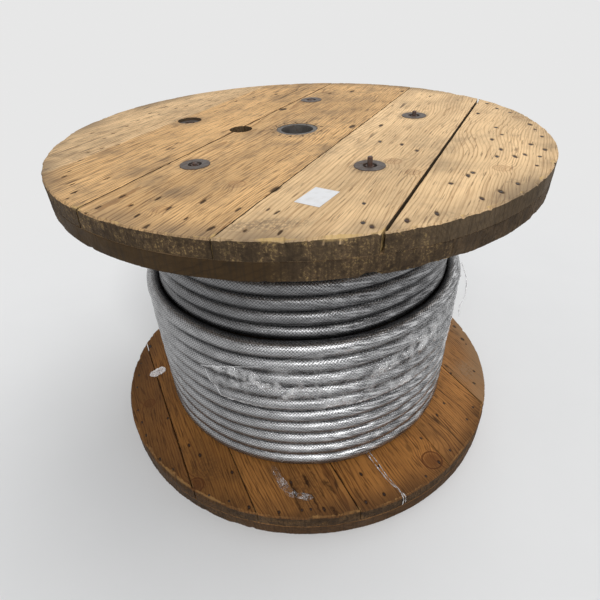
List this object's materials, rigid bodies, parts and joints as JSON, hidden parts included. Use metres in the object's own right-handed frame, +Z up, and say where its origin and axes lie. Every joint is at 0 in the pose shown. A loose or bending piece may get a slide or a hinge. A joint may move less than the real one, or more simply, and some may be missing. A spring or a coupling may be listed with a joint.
{
  "type": "wooden cable drum",
  "caption": "Timber cable drum standing on its lower flange, wound with layers of braided steel cable held by clear stretch film, with an arbor hole through both flanges.",
  "frame": {"origin": "on the floor under the drum, on its axis", "axes": "+Z up along the drum's axis, X to the right and -Y towards the front, where the film's pointed end is"},
  "size_m": [1.2192, 1.2192, 0.8822],
  "materials": {
    "top_flange_wood": "sawn softwood, weathered",
    "low_flange_wood": "sawn softwood, darkened",
    "barrel_wood": "sawn softwood",
    "braided_steel": "galvanised wire braid",
    "bush_steel": "pressed steel, dull",
    "bolt_steel": "rusted steel",
    "washer_steel": "dull plated steel",
    "paper": "matt paper",
    "clear_film": "clear stretch film"
  },
  "bodies": {
    "root": {"arbor_bush_low": "bush_steel", "arbor_bush_top": "bush_steel", "barrel_staves": "barrel_wood", "cable_winding": "braided_steel", "film_scrap": "clear_film", "film_tail": "clear_film", "head_washer_1": "washer_steel", "head_washer_2": "washer_steel", "head_washer_3": "washer_steel", "head_washer_4": "washer_steel", "head_washer_5": "washer_steel", "low_inner_board_1": "low_flange_wood", "low_inner_board_2": "low_flange_wood", "low_inner_board_3": "low_flange_wood", "low_inner_board_4": "low_flange_wood", "low_inner_board_5": "low_flange_wood", "low_inner_board_6": "low_flange_wood", "low_outer_board_1": "low_flange_wood", "low_outer_board_2": "low_flange_wood", "low_outer_board_3": "low_flange_wood", "low_outer_board_4": "low_flange_wood", "low_outer_board_5": "low_flange_wood", "nut_1": "bolt_steel", "nut_2": "bolt_steel", "nut_3": "bolt_steel", "nut_4": "bolt_steel", "nut_5": "bolt_steel", "nut_washer_1": "washer_steel", "nut_washer_2": "washer_steel", "nut_washer_3": "washer_steel", "nut_washer_4": "washer_steel", "nut_washer_5": "washer_steel", "paper_label": "paper", "stretch_film": "clear_film", "tie_bolt_1": "bolt_steel", "tie_bolt_2": "bolt_steel", "tie_bolt_3": "bolt_steel", "tie_bolt_4": "bolt_steel", "tie_bolt_5": "bolt_steel", "top_inner_board_1": "top_flange_wood", "top_inner_board_2": "top_flange_wood", "top_inner_board_3": "top_flange_wood", "top_inner_board_4": "top_flange_wood", "top_inner_board_5": "top_flange_wood", "top_outer_board_1": "top_flange_wood", "top_outer_board_2": "top_flange_wood", "top_outer_board_3": "top_flange_wood", "top_outer_board_4": "top_flange_wood", "top_outer_board_5": "top_flange_wood"}
  },
  "joints": []
}
